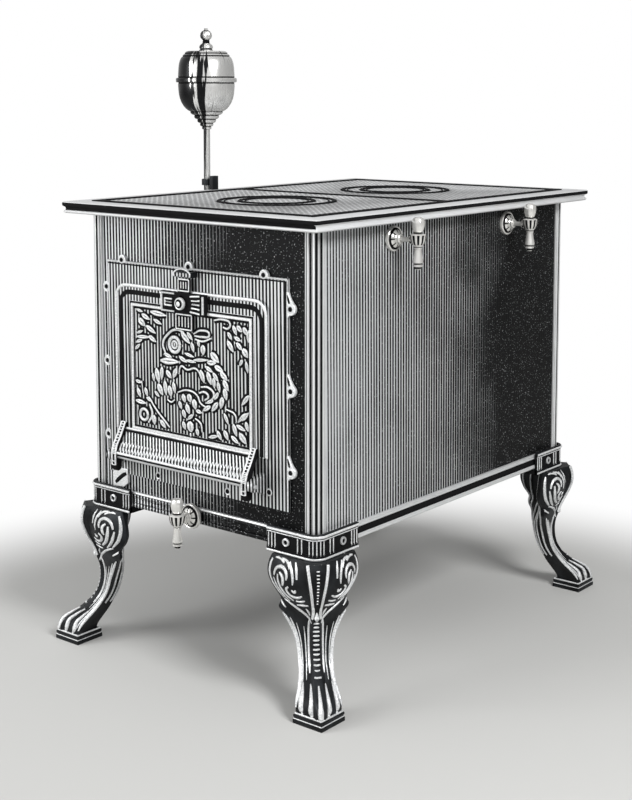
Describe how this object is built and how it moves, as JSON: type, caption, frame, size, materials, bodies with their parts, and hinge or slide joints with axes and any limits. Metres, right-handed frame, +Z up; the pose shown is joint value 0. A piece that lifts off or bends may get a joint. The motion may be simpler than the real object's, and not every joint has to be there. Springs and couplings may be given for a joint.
{
  "type": "spirit stove",
  "caption": "Cast and sheet-iron spirit stove on cabriole legs: drop-down oven door with slide latch, hob with lift-off rings, lever taps and a spirit reservoir on a riser pipe.",
  "frame": {"origin": "on the floor under the middle of the whole stove's outline, reservoir and tap handles included", "axes": "+Z up; the oven door looks along -Y; the two hob taps are on the +X side and the reservoir on the -X side"},
  "size_m": [0.64, 0.819, 1.046],
  "materials": {
    "sheet_iron": "blued planished sheet, satin",
    "moulding": "polished steel moulding",
    "cast_iron": "black-leaded casting",
    "hob_iron": "ground top, satin",
    "bright_steel": "bright steel",
    "nickel": "nickel plate, polished",
    "brass": "dull brass"
  },
  "bodies": {
    "stove": {"front_panel": "sheet_iron", "rear_panel": "sheet_iron", "left_panel": "sheet_iron", "right_panel": "sheet_iron", "base_rail_front": "moulding", "base_rail_right": "moulding", "base_rail_rear": "moulding", "base_rail_left": "moulding", "corner_post_front_right": "moulding", "corner_post_rear_right": "moulding", "corner_post_rear_left": "moulding", "corner_post_front_left": "moulding", "leg_front_right": "cast_iron", "leg_rear_right": "cast_iron", "leg_rear_left": "cast_iron", "leg_front_left": "cast_iron", "leg_bolt_front_right_a": "bright_steel", "leg_bolt_front_right_b": "bright_steel", "leg_bolt_rear_right_a": "bright_steel", "leg_bolt_rear_right_b": "bright_steel", "leg_bolt_rear_left_a": "bright_steel", "leg_bolt_rear_left_b": "bright_steel", "leg_bolt_front_left_a": "bright_steel", "leg_bolt_front_left_b": "bright_steel", "base_pan": "sheet_iron", "burner_tray": "sheet_iron", "hob_plate": "hob_iron", "burner_front": "brass", "burner_rear": "brass", "burner_oven": "brass", "door_frame": "cast_iron", "hinge_rod": "bright_steel", "latch_keeper": "cast_iron", "oven_box": "sheet_iron", "oven_shelf": "bright_steel", "manifold_pipe": "brass", "feed_pipe": "nickel", "oven_feed_pipe": "brass", "pipe_clamp": "nickel", "reservoir_bowl": "nickel", "reservoir_dome": "nickel", "tap_rosette_front": "nickel", "tap_rosette_rear": "nickel", "tap_rosette_oven": "nickel"},
    "door": {"door_leaf": "cast_iron", "latch_guide": "cast_iron"},
    "latch": {"latch_bolt": "bright_steel", "latch_knob": "nickel"},
    "front_tap": {"tap_spindle_front": "nickel", "tap_handle_front": "nickel"},
    "rear_tap": {"tap_spindle_rear": "nickel", "tap_handle_rear": "nickel"},
    "oven_tap": {"tap_spindle_oven": "nickel", "tap_handle_oven": "nickel"},
    "front_ring": {"hob_ring_front": "hob_iron"},
    "rear_ring": {"hob_ring_rear": "hob_iron"},
    "front_lid": {"ring_lid_front": "hob_iron"},
    "rear_lid": {"ring_lid_rear": "hob_iron"},
    "cap": {"filler_cap": "nickel"}
  },
  "joints": [
    {"name": "door_hinge", "type": "hinge", "parent": "stove", "child": "door", "pos_m": [0.003, -0.3855, 0.336], "axis": [1, 0, 0], "range_deg": [0, 90]},
    {"name": "latch_slide", "type": "slide", "parent": "door", "child": "latch", "axis": [0, 0, 1], "range_m": [0, 0.008]},
    {"name": "front_tap_turn", "type": "hinge", "parent": "stove", "child": "front_tap", "pos_m": [0.307, -0.1665, 0.7035], "axis": [1, 0, 0], "range_deg": [0, 90]},
    {"name": "rear_tap_turn", "type": "hinge", "parent": "stove", "child": "rear_tap", "pos_m": [0.307, 0.1665, 0.7035], "axis": [1, 0, 0], "range_deg": [0, 90]},
    {"name": "oven_tap_turn", "type": "hinge", "parent": "stove", "child": "oven_tap", "pos_m": [0.008, -0.396, 0.257], "axis": [0, -1, 0], "range_deg": [0, 90]},
    {"name": "front_ring_lift", "type": "slide", "parent": "stove", "child": "front_ring", "axis": [0, 0, 1], "range_m": [0, 0.08]},
    {"name": "rear_ring_lift", "type": "slide", "parent": "stove", "child": "rear_ring", "axis": [0, 0, 1], "range_m": [0, 0.08]},
    {"name": "front_lid_lift", "type": "slide", "parent": "front_ring", "child": "front_lid", "axis": [0, 0, 1], "range_m": [0, 0.08]},
    {"name": "rear_lid_lift", "type": "slide", "parent": "rear_ring", "child": "rear_lid", "axis": [0, 0, 1], "range_m": [0, 0.08]},
    {"name": "cap_lift", "type": "slide", "parent": "stove", "child": "cap", "axis": [0, 0, 1], "range_m": [0, 0.06]}
  ]
}
